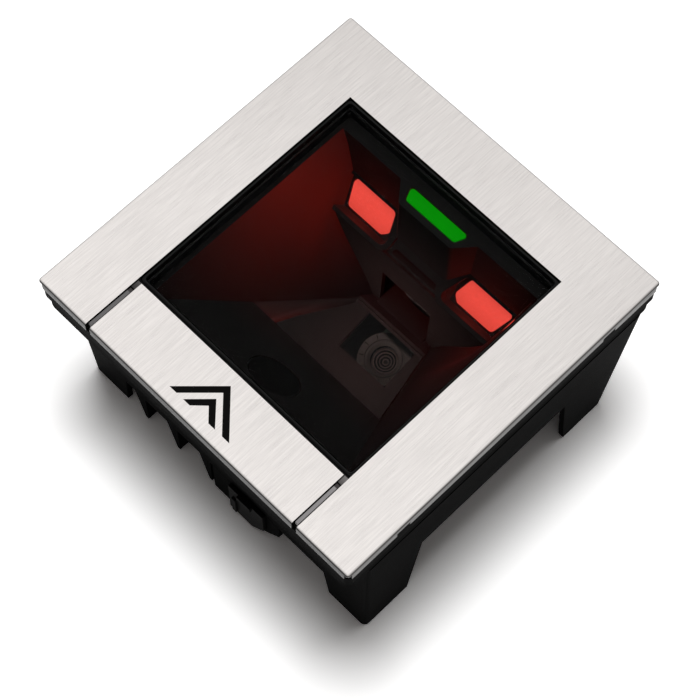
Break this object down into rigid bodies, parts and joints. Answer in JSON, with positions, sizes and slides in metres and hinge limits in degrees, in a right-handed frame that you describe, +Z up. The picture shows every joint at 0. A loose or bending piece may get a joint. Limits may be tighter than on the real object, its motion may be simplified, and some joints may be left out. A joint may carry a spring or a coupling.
{
  "type": "fixed barcode reader",
  "caption": "Square counter-top barcode reader with a glass window in a steel top, a moulded optics funnel under it and a legged housing.",
  "frame": {"origin": "centre of the footprint on the plane that the feet rest on", "axes": "+Z up through the window, -Y towards the front edge with the separate steel plate, +X to the right seen from the front"},
  "size_m": [0.152, 0.152, 0.0885],
  "materials": {
    "brushed_steel": "fine grain running from front to back",
    "dark_grey_plastic": "fine moulded texture",
    "black_plastic": "smooth moulded surface with a soft sheen",
    "black_rubber": "dull",
    "window_glass": "clear and polished",
    "light_strip": "translucent, unlit",
    "mirror_glass": "polished",
    "red_window": "translucent red",
    "green_window": "translucent green",
    "dark_filter": "polished dark filter",
    "circuit_board": "lacquered board with components",
    "screw_steel": "plated",
    "pale_plastic": "translucent moulding",
    "lens_glass": "coated lens"
  },
  "bodies": {
    "root": {"top_frame": "brushed_steel", "front_plate": "brushed_steel", "bezel_frame": "dark_grey_plastic", "light_strip_left": "light_strip", "light_strip_right": "light_strip", "window_gasket": "black_rubber", "window_glass": "window_glass", "optics_tub": "black_plastic", "fold_mirror": "mirror_glass", "mirror_clip": "dark_grey_plastic", "light_window_left": "red_window", "light_window_right": "red_window", "light_board_left": "circuit_board", "light_board_right": "circuit_board", "indicator_window": "green_window", "indicator_board": "circuit_board", "sensor_window": "dark_filter", "sensor_board": "circuit_board", "lens_barrel": "pale_plastic", "lens_glass": "lens_glass", "lens_holder": "pale_plastic", "image_board": "circuit_board", "camera_bracket": "screw_steel", "housing": "black_plastic", "main_board": "circuit_board", "interface_socket": "black_plastic", "cable_cover": "black_plastic", "sounder": "black_plastic", "base_cover": "black_plastic", "case_screw_front_left": "screw_steel", "case_screw_front_right": "screw_steel", "case_screw_back_left": "screw_steel", "case_screw_back_right": "screw_steel", "tub_screw_front_left": "screw_steel", "tub_screw_front_right": "screw_steel", "tub_screw_back_left": "screw_steel", "tub_screw_back_right": "screw_steel", "board_screw_front_left": "screw_steel", "board_screw_front_right": "screw_steel", "board_screw_back_left": "screw_steel", "board_screw_back_right": "screw_steel", "cover_screw_left": "screw_steel", "cover_screw_right": "screw_steel"}
  },
  "joints": []
}
